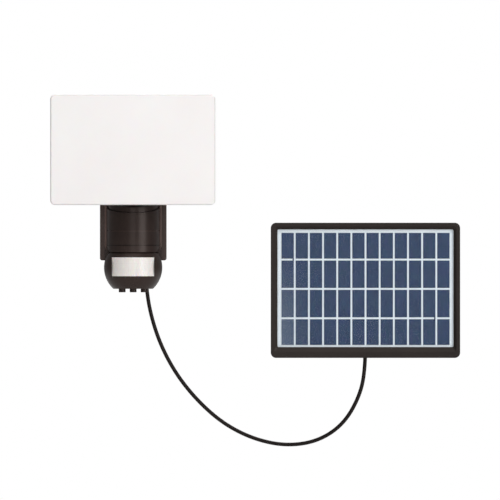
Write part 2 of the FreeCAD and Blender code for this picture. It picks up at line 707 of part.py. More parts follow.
def make_ball_halves():
    shell = ball_shell().cut(lens_outline(LENS_R + 5.0))
    front_half = block(-60.0, 60.0, AXIS_Y - 60.0, AXIS_Y, BALL_Z - 60.0, BALL_Z + 60.0)
    rear_half = block(-60.0, 60.0, AXIS_Y, AXIS_Y + 60.0, BALL_Z - 60.0, BALL_Z + 60.0)
    inside = ball_solid(BALL_R - BALL_WALL + 0.5)
    front_posts = [rod_y(3.0, x, z, AXIS_Y - 7.0, AXIS_Y) for x, z in sensor_screw_places()]
    rear_posts = [rod_y(3.0, x, z, AXIS_Y, 0.0).common(inside) for x, z in sensor_screw_places()]
    shanks = [rod_y(1.2, x, z, AXIS_Y - 6.0, 0.0) for x, z in sensor_screw_places()]
    ribs = [block(x - 1.0, x + 1.0, AXIS_Y - 7.0, AXIS_Y, CHIN_Z + 1.0, z) for x, z in sensor_screw_places()]
    front = merge(shell.common(front_half), *(front_posts + ribs)).cut(shanks)
    rear = merge(shell.common(rear_half), *rear_posts)
    heads = [rod_y(2.4, x, z, sensor_seat_y(), 0.0) for x, z in sensor_screw_places()]
    return front, rear.cut(shanks + heads)


def sensor_seat_y():
    """Where the sensor's screw heads bear inside the rear half."""
    return AXIS_Y + 15.0


def make_sensor_screws():
    length = sensor_seat_y() - AXIS_Y + 5.5
    return group([screw_y(x, z, sensor_seat_y(), length, 2.3, 1.2, -1) for x, z in sensor_screw_places()])


def make_sensor_lens():
    shape = lens_outline(LENS_R)
    return shape.cut(rod_z(LENS_R - LENS_T, 0.0, AXIS_Y, LENS_BOTTOM_Z, LENS_TOP_Z))


def make_yoke():
    """A half ring inside the ball with pivots along X and a spindle up into the neck cover."""
    half_y = YOKE_HALF_Y
    ring = rod_y(YOKE_OUTER_R, 0.0, BALL_Z, AXIS_Y - half_y, AXIS_Y + half_y)
    ring = ring.cut(rod_y(YOKE_INNER_R, 0.0, BALL_Z, AXIS_Y - half_y, AXIS_Y + half_y))
    ring = ring.common(block(-40.0, 40.0, AXIS_Y - half_y, AXIS_Y + half_y, BALL_Z - 6.0, BALL_Z + 40.0))
    pivots = []
    for sx in MIRROR:
        x0, x1 = sorted((sx * (YOKE_INNER_R + 1.0), sx * (BALL_R - 1.1)))
        pivots.append(rod_x(PIVOT_R, AXIS_Y, BALL_Z, x0, x1))
    spindle = rod_z(YOKE_SPINDLE_R, 0.0, AXIS_Y, BALL_Z + YOKE_INNER_R + 0.5, yoke_nut_top() + 0.6)
    bore = rod_z(2.5, 0.0, AXIS_Y, BALL_Z, yoke_nut_top() + 0.6)
    return merge(ring, spindle, *pivots).cut(bore)


def yoke_nut_top():
    return BALL_Z + RECESS_R + RECESS_WALL + CLEAR + 3.0


def make_yoke_nut():
    top = yoke_nut_top()
    return rod_z(8.5, 0.0, AXIS_Y, top - 3.0, top).cut(rod_z(YOKE_SPINDLE_R, 0.0, AXIS_Y, top - 3.0, top))


def make_sensor_board():
    return plate(-17.0, 17.0, -74.0, -54.0, -62.6, -61.0, 1.5)


def make_motion_element():
    can = rod_y(4.6, 0.0, BALL_Z, -66.2, -62.6)
    brim = rod_y(5.4, 0.0, BALL_Z, -63.4, -62.6)
    window = block(-2.0, 2.0, -66.2, -65.8, BALL_Z - 1.5, BALL_Z + 1.5)
    return merge(can, brim).cut(window)


def make_dusk_element():
    return merge(rod_y(1.8, -11.0, BALL_Z, -63.8, -62.6), rod_y(2.4, -11.0, BALL_Z, -63.0, -62.6))


def make_dial_board():
    shape = plate(-16.2, 16.2, -58.0, -42.0, 0.0, 1.6, 1.5)
    shape.rotate(Vector(0, 0, 0), Vector(1, 0, 0), 90)
    bottom = CHIN_Z + 9.0
    shape.translate(Vector(0, AXIS_Y - shape.BoundBox.Center.y, bottom - shape.BoundBox.ZMin))
    return shape.cut([rod_z(1.6, dial_x(i), AXIS_Y, bottom, bottom + 1.6) for i in range(3)])


def make_trimmers():
    bottom = CHIN_Z + 5.6
    top = CHIN_Z + 9.0
    cans = []
    for i in range(3):
        can = block(dial_x(i) - 4.2, dial_x(i) + 4.2, AXIS_Y - 4.2, AXIS_Y + 4.2, bottom, top)
        cans.append(can.cut(rod_z(1.56, dial_x(i), AXIS_Y, bottom, top)))
    return group(cans)


def make_dial(index):
    """A round stud with a flange behind the chin's wall, a screwdriver slot and a thin shaft."""
    x = dial_x(index)
    flange_z = CHIN_Z + BALL_WALL + CLEAR
    knob = rod_z(DIAL_R, x, AXIS_Y, DIAL_BOTTOM_Z, flange_z)
    knob = knob.makeFillet(0.5, edges_where(knob, lambda e: in_plane(e, 2, DIAL_BOTTOM_Z)))
    flange = rod_z(4.2, x, AXIS_Y, flange_z, flange_z + 1.2)
    shaft = rod_z(1.5, x, AXIS_Y, flange_z + 1.2, CHIN_Z + 9.0 + 1.0)
    slot = block(x - DIAL_R, x + DIAL_R, AXIS_Y - DIAL_SLOT_HALF, AXIS_Y + DIAL_SLOT_HALF,
                 DIAL_BOTTOM_Z, DIAL_BOTTOM_Z + DIAL_SLOT_DEPTH)
    return merge(knob, flange, shaft).cut(slot)


# ---- solar panel ---------------------------------------------------------------------------------
def panel_edges(side, top, bottom):
    """Left, right, low and high limits, set in from the panel's outer edges."""
    x0 = PANEL_X - PANEL_HALF_W + side
    x1 = PANEL_X + PANEL_HALF_W - side
    return x0, x1, PANEL_Z - PANEL_HALF_H + bottom, PANEL_Z + PANEL_HALF_H - top


def panel_plate(side, top, bottom, y0, y1, corner):
    x0, x1, z0, z1 = panel_edges(side, top, bottom)
    return plate(x0, x1, z0, z1, y0, y1, corner)


def outline_wire(side, top, bottom, y, corner):
    shape = panel_plate(side, top, bottom, y, y + 1.0, corner)
    face = [f for f in shape.Faces if abs(f.CenterOfMass.y - y) < 0.01][0]
    return face.OuterWire


def window_insets():
    side = RIM_SIDE + BEVEL_SIDE
    return side, side, RIM_BOTTOM + BEVEL_BOTTOM


def make_panel_frame():
    back = PANEL_FRONT_Y + PANEL_DEPTH
    shape = panel_plate(0.0, 0.0, 0.0, PANEL_FRONT_Y, back, PANEL_CORNER)
    shape = soften(shape, 1.0, PANEL_FRONT_Y)
    side, top, bottom = window_insets()
    glass_y = PANEL_FRONT_Y + BEVEL_DEPTH
    outer = outline_wire(RIM_SIDE, RIM_SIDE, RIM_BOTTOM, PANEL_FRONT_Y, 3.0)
    inner = outline_wire(side, top, bottom, glass_y, WINDOW_CORNER)
    bevel = Part.makeLoft([outer, inner], True, True)
    window = panel_plate(side, top, bottom, glass_y, back, WINDOW_CORNER)
    rebate = panel_plate(side - 2.5, top - 2.5, bottom - 2.5, glass_y + 0.01, back - COVER_T,
                         WINDOW_CORNER + 1.0)
    seat = panel_plate(3.0, 3.0, 3.0, back - COVER_T, back, PANEL_CORNER - 3.0)
    return shape.cut([bevel, window, rebate, seat])


def laminate_plate(extra, y0, y1):
    side, top, bottom = window_insets()
    grow = 2.3 - extra
    return panel_plate(side - grow, top - grow, bottom - grow, y0, y1, WINDOW_CORNER + 0.6)


def glass_front_y():
    return PANEL_FRONT_Y + BEVEL_DEPTH + 0.01


def cells_front_y():
    return glass_front_y() + GLASS_T


def make_panel_glass():
    return laminate_plate(0.0, glass_front_y(), cells_front_y())


def cell_left_x():
    span = (CELL_COLUMNS - 1) * CELL_PITCH + CELL_W
    return PANEL_X + CELL_SHIFT_X - span / 2


def make_cells():
    y = cells_front_y()
    cells = []
    top = CELL_TOP_Z
    for height in CELL_HEIGHTS:
        for i in range(CELL_COLUMNS):
            x = cell_left_x() + i * CELL_PITCH
            cells.append(block(x, x + CELL_W, y, y + CELL_T, top - height, top))
        top -= height + CELL_GAP_Z
    return group(cells)


def make_cell_ribbons():
    """Tinned strips that run behind the cells and join each string of four."""
    y = cells_front_y() + CELL_T
    low = CELL_TOP_Z - sum(CELL_HEIGHTS) - 3 * CELL_GAP_Z + 1.0
    strips = []
    for i in range(CELL_COLUMNS):
        x = cell_left_x() + i * CELL_PITCH + CELL_W / 2
        strip = block(x - RIBBON_HALF_W, x + RIBBON_HALF_W, y, y + RIBBON_T, low, CELL_TOP_Z - 1.0)
        strips.append(strip)
    return group(strips)


def sheet_front_y():
    return cells_front_y() + CELL_T + RIBBON_T


def make_back_sheet():
    y = sheet_front_y()
    return laminate_plate(0.0, y, y + SHEET_T)


def make_laminate_seal():
    """A foam gasket that presses the laminate against the frame's lip."""
    y = sheet_front_y() + SHEET_T
    back = PANEL_FRONT_Y + PANEL_DEPTH - COVER_T
    return laminate_plate(0.0, y, back).cut(laminate_plate(3.5, y, back))


def make_panel_back():
    back = PANEL_FRONT_Y + PANEL_DEPTH
    shape = panel_plate(3.05, 3.05, 3.05, back - COVER_T, back, PANEL_CORNER - 3.05)
    passage = rod_y(PASSAGE_R, PIVOT_X, PASSAGE_Z, back - COVER_T, back)
    holes = [rod_y(1.4, x, z, back - COVER_T, back) for x, z in panel_screw_places()]
    return shape.cut(holes + [passage])


def panel_screw_places():
    return [(PANEL_X + i * PANEL_SCREW_X, PANEL_Z + j * PANEL_SCREW_Z) for i in (-1, 0, 1) for j in MIRROR]


def make_panel_screws():
    back = PANEL_FRONT_Y + PANEL_DEPTH
    return group([screw_y(x, z, back, COVER_T, 2.6, 1.4, -1) for x, z in panel_screw_places()])


def make_hinge_plate():
    """A plate on the panel's back with two lugs above and below the arm's upright barrel."""
    back = PANEL_FRONT_Y + PANEL_DEPTH
    shape = plate(PIVOT_X - 22.0, PIVOT_X + 22.0, TILT_Z - 24.0, TILT_Z + 24.0, back, back + 3.0, 3.0)
    inner = ARM_BARREL_HALF + CLEAR
    lugs = []
    for sz in MIRROR:
        z0, z1 = sorted((TILT_Z + sz * inner, TILT_Z + sz * (inner + 10.0)))
        lugs.append(block(PIVOT_X - 6.5, PIVOT_X + 6.5, back + 3.0, PIVOT_Y, z0, z1))
        lugs.append(rod_z(6.5, PIVOT_X, PIVOT_Y, z0, z1))
    shape = merge(shape, *lugs)
    holes = [rod_z(BOLT_R, PIVOT_X, PIVOT_Y, TILT_Z - 30.0, TILT_Z + 30.0)]
    holes += [rod_y(1.6, x, z, back, back + 3.0) for x, z in hinge_screw_places()]
    return shape.cut(holes)


def hinge_screw_places():
    return [(PIVOT_X + sx * 17.5, TILT_Z + sz * 19.5) for sx in MIRROR for sz in MIRROR]


def make_hinge_screws():
    seat = PANEL_FRONT_Y + PANEL_DEPTH + 3.0
    return group([screw_y(x, z, seat, 3.0, 2.6, 1.6, -1) for x, z in hinge_screw_places()])


def make_pan_pin():
    reach = ARM_BARREL_HALF + CLEAR + 11.0
    pin = rod_z(BOLT_R, PIVOT_X, PIVOT_Y, TILT_Z - reach, TILT_Z + reach)
    cap = rod_z(4.6, PIVOT_X, PIVOT_Y, TILT_Z + reach - 0.7, TILT_Z + reach + 1.5)
    return merge(pin, cap)


def box_plate(inset, y0, y1):
    half = BOX_HALF_W - inset
    return plate(PIVOT_X - half, PIVOT_X + half, BOX_LOW_Z + inset, BOX_HIGH_Z - inset, y0, y1,
                 max(2.0 - inset, 1.0))


def make_junction_box():
    back = PANEL_FRONT_Y + PANEL_DEPTH
    floor = back + BOX_WALL
    bushing = rod_z(GLAND_R, PIVOT_X, PIVOT_Y, BOX_LOW_Z, BOX_LOW_Z + BOX_WALL)
    passage = rod_y(PASSAGE_R, PIVOT_X, PASSAGE_Z, back, floor)
    return box_plate(0.0, back, BOX_BACK_Y).cut([box_plate(BOX_WALL, floor, BOX_BACK_Y), passage, bushing])


def make_junction_lid():
    return soften(box_plate(0.0, BOX_BACK_Y, LID_BACK_Y), 0.8, LID_BACK_Y)


def make_diode_board():
    y = PANEL_FRONT_Y + PANEL_DEPTH + BOX_WALL
    board = block(PIVOT_X - 15.0, PIVOT_X - 5.0, y, y + 1.6, -134.0, -112.0)
    diode = rod_z(1.8, PIVOT_X - 10.0, y + 3.4, -128.0, -118.0)
    return merge(board, diode)


# ---- solar bracket -------------------------------------------------------------------------------
def make_solar_foot():
    shape = plate(PIVOT_X - FOOT_HALF_W, PIVOT_X + FOOT_HALF_W, TILT_Z - FOOT_HALF_H, TILT_Z + FOOT_HALF_H,
                  -FOOT_T, 0.0, 5.0)
    inner = FOOT_BARREL_HALF + CLEAR
    ears = []
    for sx in MIRROR:
        x0, x1 = sorted((PIVOT_X + sx * inner, PIVOT_X + sx * (inner + EAR_T)))
        ears.append(block(x0, x1, TILT_Y, -FOOT_T, TILT_Z - EAR_R, TILT_Z + EAR_R))
        ears.append(rod_x(EAR_R, TILT_Y, TILT_Z, x0, x1))
    shape = merge(shape, *ears)
    holes = [rod_x(BOLT_R, TILT_Y, TILT_Z, PIVOT_X - 20.0, PIVOT_X + 20.0)]
    for sx in MIRROR:
        for sz in MIRROR:
            x = PIVOT_X + sx * FOOT_HOLE_X
            holes.append(rod_y(WALL_HOLE_R, x, TILT_Z + sz * FOOT_HOLE_Z, -FOOT_T, 0.0))
    return shape.cut(holes)


def make_solar_arm():
    """A bar between the tilt barrel at the wall foot and the upright barrel behind the panel."""
    tilt = rod_x(EAR_R - 0.5, TILT_Y, TILT_Z, PIVOT_X - FOOT_BARREL_HALF, PIVOT_X + FOOT_BARREL_HALF)
    pan = rod_z(PAN_BARREL_R, PIVOT_X, PIVOT_Y, TILT_Z - ARM_BARREL_HALF, TILT_Z + ARM_BARREL_HALF)
    bar = block(PIVOT_X - 5.5, PIVOT_X + 5.5, PIVOT_Y, TILT_Y, TILT_Z - 6.0, TILT_Z + 6.0)
    bar = bar.makeFillet(2.0, edges_where(bar, lambda e: runs_along(e, 1)))
    shape = merge(bar, tilt, pan)
    bores = [
        rod_x(BOLT_R + RUN_GAP, TILT_Y, TILT_Z, PIVOT_X - 20.0, PIVOT_X + 20.0),
        rod_z(BOLT_R + RUN_GAP, PIVOT_X, PIVOT_Y, TILT_Z - 20.0, TILT_Z + 20.0),
    ]
    return shape.cut(bores)


# ---- cable ---------------------------------------------------------------------------------------
def arc_at(before, corner, after):
    """The largest tidy arc between two runs: its radius, and its start, middle and end points."""
    back = before.sub(corner)
    ahead = after.sub(corner)
    shorter = min(back.Length, ahead.Length)
    back.normalize()
    ahead.normalize()
    half_turn = (math.pi - back.getAngle(ahead)) / 2
    radius = 0.45 * shorter / math.tan(half_turn)
    start = corner.add(back * (0.45 * shorter))
    end = corner.add(ahead * (0.45 * shorter))
    inward = back.add(ahead).normalize()
    middle = corner.add(inward * (radius / math.cos(half_turn) - radius))
    return radius, start, middle, end


def make_cable():
    """A round tube along straight runs joined by tangent arcs."""
    points = [Vector(*p) for p in CABLE_ROUTE]
    edges = []
    radii = []
    here = points[0]
    for before, corner, after in zip(points, points[1:], points[2:]):
        radius, start, middle, end = arc_at(before, corner, after)
        radii.append(round(radius, 1))
        edges.append(Part.LineSegment(here, start).toShape())
        edges.append(Part.Arc(start, middle, end).toShape())
        here = end
    edges.append(Part.LineSegment(here, points[-1]).toShape())
    path = Part.Wire(edges)
    section = Part.Wire(Part.makeCircle(CABLE_D / 2, points[0], points[1].sub(points[0])))
    tube = path.makePipeShell([section], True, True)
    expected = math.pi * (CABLE_D / 2) ** 2 * path.Length
    print("cable length", round(path.Length, 1), "bend radii", radii)
    print("cable volume over section times length", round(tube.Volume / expected, 4))
    return tube


# ---- all nodes -----------------------------------------------------------------------------------
def build():
    base_shell, neck_cover = make_base_shells()
    front_half, rear_half = make_ball_halves()
    head_ear = ARM_HALF_W + CLEAR + WASHER_T + BRACKET_EAR_T
    foot_ear = FOOT_BARREL_HALF + CLEAR + EAR_T
    nodes = {
        "wall_bracket": make_wall_bracket(),
        "base_tray": make_base_tray(),
        "base_seal": make_base_seal(),
        "base_shell": base_shell,
        "neck_cover": neck_cover,
        "base_screws": make_base_screws(),
        "battery_cells": make_battery_cells(),
        "battery_holder": make_battery_holder(),
        "charge_board": make_charge_board(),
        "base_cable_gland": gland(BASE_GLAND[0], BASE_GLAND[1], -BASE_HALF_H, BASE_WALL, BASE_GLAND[2]),
        "turret": make_turret(),
        "pan_nut": make_pan_nut(),
        "head_arm": make_arm(),
        "light_diffuser": make_diffuser(),
        "head_seal": make_head_seal(),
        "head_back": make_head_back(),
        "led_board": make_led_board(),
        "led_chips": make_led_chips(),
        "led_reflector": make_reflector(),
        "led_board_screws": make_board_screws(),
        "head_screws": make_head_screws(),
        "head_bracket": make_head_bracket(),
        "head_bracket_screws": make_bracket_screws(),
        "tilt_washers": make_tilt_washers(),
        "tilt_bolt": hinge_bolt(HINGE_Y, HINGE_Z, -head_ear, head_ear + BOLT_REACH),
        "tilt_knob": clamp_knob(head_ear + CLEAR, head_ear + KNOB_LENGTH, HINGE_Y, HINGE_Z, KNOB_R),
        "sensor_yoke": make_yoke(),
        "sensor_yoke_nut": make_yoke_nut(),
        "sensor_front_shell": front_half,
        "sensor_rear_shell": rear_half,
        "sensor_lens": make_sensor_lens(),
        "sensor_screws": make_sensor_screws(),
        "sensor_board": make_sensor_board(),
        "motion_element": make_motion_element(),
        "dusk_element": make_dusk_element(),
        "dial_board": make_dial_board(),
        "dial_trimmers": make_trimmers(),
        "solar_foot": make_solar_foot(),
        "solar_arm": make_solar_arm(),
        "foot_bolt": hinge_bolt(TILT_Y, TILT_Z, PIVOT_X - foot_ear, PIVOT_X + foot_ear + BOLT_REACH),
        "foot_knob": clamp_knob(PIVOT_X + foot_ear + CLEAR, PIVOT_X + foot_ear + KNOB_LENGTH,
                                TILT_Y, TILT_Z, KNOB_R),
        "panel_frame": make_panel_frame(),
        "panel_glass": make_panel_glass(),
        "solar_cells": make_cells(),
        "cell_ribbons": make_cell_ribbons(),
        "panel_back_sheet": make_back_sheet(),
        "laminate_seal": make_laminate_seal(),
        "panel_back": make_panel_back(),
        "panel_screws": make_panel_screws(),
        "panel_hinge_plate": make_hinge_plate(),
        "hinge_plate_screws": make_hinge_screws(),
        "pan_pin": make_pan_pin(),
        "junction_box": make_junction_box(),
        "junction_lid": make_junction_lid(),
        "diode_board": make_diode_board(),
        "panel_cable_gland": gland(PIVOT_X, PIVOT_Y, BOX_LOW_Z, BOX_WALL, PANEL_GLAND_Z),
        "solar_cable": make_cable(),
    }
    for index, name in enumerate(DIAL_NAMES):
        nodes[name] = make_dial(index)
    return nodes


def main():
    os.makedirs("parts", exist_ok=True)
    for name, shape in build().items():
        if not shape.isValid() or not shape.Solids:
            print("not a valid solid:", name)
        shape.exportStep(os.path.join("parts", name + ".step"))


main()
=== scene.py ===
"""The looks of a solar flood light.

Materials for its CAD nodes, the hanging lead, the bridges between its solar cells, and the floor, light and
camera.
"""

import math

import bmesh
import bpy
from mathutils import Matrix, Vector


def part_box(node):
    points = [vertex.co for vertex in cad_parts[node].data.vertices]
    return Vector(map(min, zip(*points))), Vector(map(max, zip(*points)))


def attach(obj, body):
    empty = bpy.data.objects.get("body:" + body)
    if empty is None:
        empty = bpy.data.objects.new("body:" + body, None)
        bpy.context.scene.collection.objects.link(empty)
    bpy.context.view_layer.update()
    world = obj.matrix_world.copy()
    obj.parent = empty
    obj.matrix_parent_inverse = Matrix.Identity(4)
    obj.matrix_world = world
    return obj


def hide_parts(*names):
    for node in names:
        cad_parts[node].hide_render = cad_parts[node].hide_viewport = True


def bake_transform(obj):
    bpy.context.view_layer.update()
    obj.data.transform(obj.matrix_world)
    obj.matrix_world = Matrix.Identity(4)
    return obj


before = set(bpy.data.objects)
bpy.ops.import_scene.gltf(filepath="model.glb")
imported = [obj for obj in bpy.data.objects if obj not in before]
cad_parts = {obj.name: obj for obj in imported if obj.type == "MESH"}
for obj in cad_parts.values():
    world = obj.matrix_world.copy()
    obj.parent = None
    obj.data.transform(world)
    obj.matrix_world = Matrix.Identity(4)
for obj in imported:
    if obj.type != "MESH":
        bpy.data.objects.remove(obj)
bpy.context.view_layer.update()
MM = 0.001


# ---- colours ---------------------------------------------------------------------------------------
def srgb(red, green, blue):
    """A screen colour, 0 to 255, as the linear colour that shaders use."""
    def linear(value):
        share = value / 255
        return share / 12.92 if share <= 0.04045 else ((share + 0.055) / 1.055) ** 2.4
    return (linear(red), linear(green), linear(blue), 1.0)


def scaled(colour, times):
    """A colour made lighter or darker."""
    return tuple(min(1.0, part * times) for part in colour[:3]) + (1.0,)


# ---- driving values, in metres ---------------------------------------------------------------------
LEAD_DIAMETER = 0.0042
LEAD_SIDES = 28
LEAD_STEPS = 24        # points of the tube for each span of its route
LEAD_UV_PER_METRE = 10.0
LEAD_ROUTE = [
    (0.0139, -0.009, -0.070),
    (0.0139, -0.009, -0.087),
    (0.0195, -0.0105, -0.1195),
    (0.031, -0.0135, -0.153),
    (0.0485, -0.017, -0.1845),
    (0.0715, -0.023, -0.2125),
    (0.099, -0.030, -0.2365),
    (0.1315, -0.0385, -0.253),
    (0.167, -0.0475, -0.2605),
    (0.202, -0.0565, -0.2555),
    (0.2305, -0.0645, -0.2365),
    (0.2485, -0.069, -0.2045),
    (0.254, -0.070, -0.1745),
    (0.254, -0.070, -0.150),
]

SURROUND_WIDTH = 2.65 * MM        # the raised strip of the base on each side of the neck
BOX_FRONT_FROM_TRAY = 26.0 * MM   # from the front of the base's rear half to the front of the whole box
GROOVE_BELOW_SEAM = 16.1 * MM
LENS_COLUMNS_PER_RADIAN = 6.5
LENS_ROWS = 3.0
CHIP_SIDE = 3.5 * MM
CHIP_COLUMNS, CHIP_ROWS = 8, 5

CELL_COLUMNS = 12
CELL_WIDTH = 13.45 * MM
CELL_PITCH = 15.465 * MM
CELL_HEIGHTS = [28.1 * MM, 29.9 * MM, 30.0 * MM, 28.1 * MM]
BRIDGE_PLACES = ((0, 0), (CELL_COLUMNS - 2, 2))
BRIDGE_WIDTH = 1.4 * MM
FINGER_PITCH = 1.8 * MM

VIEW_WIDTH = 0.546
VIEW_CENTRE = (0.1279, -0.0461)   # x and z of the middle of the picture
CAMERA_AWAY = 22.0
FACE_DEPTH = 0.1                  # about how far in front of the wall the faces stand
CAMERA_CHIP_MM = 36.0

FLOOR_Z = -0.45
FLOOR_RADIUS = 4.3
FLOOR_SIDES = 96
LAMP_AWAY = 3.0
ROOM_LIGHT = 0.22                 # the world's strength where it lights the object
BACKDROP_LIGHT = 1.0              # the world's strength where the camera sees it

HOUSING = srgb(50, 40, 37)
WHITE = (1.0, 1.0, 1.0, 1.0)
WARM_SHEEN = (1.0, 0.87, 0.82, 1.0)


# ---- building materials ----------------------------------------------------------------------------
class Recipe:
    """A node material being put together round one Principled shader, in the object's own space."""

    def __init__(self, name, roughness=0.5, **values):
        self.material = bpy.data.materials.new(name)
        self.material.use_nodes = True
        self.tree = self.material.node_tree
        self.shader = self.tree.nodes["Principled BSDF"]
        self.output = self.tree.nodes["Material Output"]
        self.place = self.node("TexCoord").outputs["Object"]
        self.height = None
        self.set("Roughness", roughness)
        for socket, value in values.items():
            self.set(socket.replace("_", " "), value)

    def feed(self, socket, value):
        """Links a node's output to a socket, or writes a plain value on it."""
        if isinstance(value, bpy.types.NodeSocket):
            self.tree.links.new(value, socket)
        else:
            socket.default_value = value

    def set(self, socket, value):
        self.feed(self.shader.inputs[socket], value)

    def node(self, kind, inputs=None, **settings):
        made = self.tree.nodes.new("ShaderNode" + kind)
        for name, value in settings.items():
            setattr(made, name, value)
        for socket, value in (inputs or {}).items():
            self.feed(made.inputs[socket], value)
        return made

    def maths(self, operation, first, second=0.0):
        return self.node("Math", {0: first, 1: second}, operation=operation).outputs[0]

    def times(self, first, *others):
        """The product of two or more masks."""
        for other in others:
            first = self.maths("MULTIPLY", first, other)
        return first

    def length(self, first, second):
        """How far a place is from the middle, from its two distances along the axes."""
        return self.maths("SQRT", self.maths("ADD", self.times(first, first), self.times(second, second)))

    def wave(self, value, turns):
        """Up and down between 0 and 0.5, the given number of half waves for each unit of value."""
        return self.maths("PINGPONG", self.times(value, turns), 0.5)

    def axes(self):
        split = self.node("SeparateXYZ", {0: self.place})
        return split.outputs[0], split.outputs[1], split.outputs[2]

    def stretched(self, x, y, z):
        """The object's space with each axis made finer or coarser."""
        return self.node("Mapping", {"Vector": self.place, "Scale": (x, y, z)}).outputs[0]

    def noise(self, scale, detail=2.0, rough=0.5, place=None):
        inputs = {"Vector": place or self.place, "Scale": scale, "Detail": detail, "Roughness": rough}
        return self.node("TexNoise", inputs).outputs[0]

    def cells(self, scale, feature="F1", output="Distance", place=None):
        """Irregular cells: how far each place is from its cell's middle, or another output of theirs."""
        inputs = {"Vector": place or self.place, "Scale": scale}
        return self.node("TexVoronoi", inputs, feature=feature).outputs[output]

    def spread(self, value, low, high, to_low=0.0, to_high=1.0):
        """Carries the stretch from low to high over to another one, level beyond its ends."""
        inputs = {0: value, 1: low, 2: high, 3: to_low, 4: to_high}
        return self.node("MapRange", inputs).outputs[0]

    def until(self, value, near, far):
        """1 up to near, falling to 0 at far."""
        return self.spread(value, near, far, 1.0, 0.0)

    def mottled(self, scale, detail, to_low, to_high, rough=0.5):
        """Soft patches between two values."""
        return self.spread(self.noise(scale, detail, rough), 0.3, 0.7, to_low, to_high)

    def ramp(self, factor, stops):
        made = self.node("ValToRGB", {0: factor})
        steps = made.color_ramp.elements
        while len(steps) < len(stops):
            steps.new(0.5)
        for step, (position, colour) in zip(steps, stops):
            step.position = position
            step.color = colour
        return made.outputs[0]

    def clouded(self, scale, detail, dark, light):
        """Soft patches between two colours."""
        return self.ramp(self.noise(scale, detail), [(0.3, dark), (0.7, light)])

    def mix(self, factor, first, second):
        return self.node("Mix", {0: factor, 6: first, 7: second}, data_type="RGBA").outputs[2]

    def bump(self, height, distance, strength=1.0):
        """Adds relief of a depth in metres on top of the relief so far."""
        inputs = {"Height": height, "Distance": distance, "Strength": strength}
        if self.height is not None:
            inputs["Normal"] = self.height
        self.height = self.node("Bump", inputs).outputs[0]
        self.set("Normal", self.height)

    def edges(self, radius):
        """1 on the edges that hands and packing rub, 0 elsewhere."""
        rounded = self.node("Bevel", {"Radius": radius}, samples=4).outputs[0]
        flat = self.node("NewGeometry").outputs["Normal"]
        alike = self.node("VectorMath", {0: rounded, 1: flat}, operation="DOT_PRODUCT").outputs["Value"]
        return self.spread(alike, 0.995, 0.86)


# ---- the materials ---------------------------------------------------------------------------------
def moulded_plastic(name, colour, roughness, painted_light=None):
    """Moulded plastic with a spark-eroded grain, faint flow marks and edges polished by handling.

    The function given as the last argument returns, for the recipe, how much painted shade and how much
    painted highlight each place gets, 0 to 1.
    """
    made = Recipe(name, Specular_IOR_Level=0.25, Specular_Tint=WARM_SHEEN)
    tone = made.clouded(22.0, 3.0, scaled(colour, 0.86), scaled(colour, 1.14))
    if painted_light:
        painted_shade, painted_highlight = painted_light(made)
        # Painted shade: the colour darkened where the painted shade mask is set.
        tone = made.mix(painted_shade, tone, scaled(colour, 0.2))
        # Painted highlight: the colour lightened sixfold where the painted highlight mask is set.
        tone = made.mix(painted_highlight, tone, scaled(colour, 6.0))
    worn = made.edges(0.5 * MM)
    patches = made.spread(made.noise(160.0, 3.0), 0.35, 0.65, 0.15, 0.55)
    made.set("Base Color", made.mix(made.times(worn, patches), tone, scaled(colour, 2.1)))
    handled = made.mottled(48.0, 4.0, roughness - 0.035, roughness + 0.045, rough=0.6)
    made.set("Roughness", made.maths("SUBTRACT", handled, made.times(worn, 0.07)))
    made.bump(made.noise(2400.0, 3.0, 0.6), 0.022 * MM, 0.35)
    made.bump(made.noise(70.0, 2.0), 0.12 * MM, 0.12)
    return made.material


def base_painted_highlights(made):
    """Painted highlights: pale lines painted on the ridges of the surround beside the neck, and the box's
    front beside that painted paler.

    The painted highlights are stronger on the left side than on the right.
    """
    box_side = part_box("base_shell")[1].x
    neck_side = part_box("neck_cover")[1].x
    surround_side = neck_side + SURROUND_WIDTH
    box_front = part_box("base_tray")[0].y - BOX_FRONT_FROM_TRAY
    step = 0.3 * MM
    fade_top, fade_foot = -35.0 * MM, -50.0 * MM
    x, y, z = made.axes()
    side = made.maths("ABSOLUTE", x)
    # Painted highlight: pale lines on the ridges of the surround, paler towards their outer edges and fading
    # towards the foot.
    ridge = made.times(
        made.spread(side, neck_side, surround_side, 0.2, 1.3),
        made.spread(side, neck_side - 0.1 * MM, neck_side + step),
        made.spread(side, surround_side + step, surround_side),
        made.spread(y, box_front, box_front - step),
        made.spread(z, fade_top, fade_foot, 1.0, 0.25))
    # Painted highlight: the box's front beside the surround painted paler, more so towards the box's sides.
    front = made.times(
        made.spread(side, surround_side, box_side, 0.17, 0.34),
        made.spread(side, surround_side, surround_side + step),
        made.spread(y, box_front + 4.0 * MM, box_front))
    # The painted highlights are painted stronger on the left than on the right.
    left_stronger = made.spread(x, -neck_side, neck_side, 1.0, 0.5)
    return 0.0, made.times(made.maths("MAXIMUM", ridge, front), left_stronger)


def neck_painted_light(made):
    """Painted shade in the groove round the neck cover, and a painted highlight, a pale line, at the seam
    above it.
    """
    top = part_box("neck_cover")[1].z
    z = made.axes()[2]
    from_groove = made.maths("ABSOLUTE", made.maths("SUBTRACT", z, top - GROOVE_BELOW_SEAM))
    # Painted shade: the groove darkened.
    painted_shade = made.spread(from_groove, 0.75 * MM, 0.35 * MM)
    # Painted highlight: a pale line just below the seam.
    seam = made.spread(z, top - 0.95 * MM, top - 0.55 * MM)
    return painted_shade, made.times(seam, 0.2)


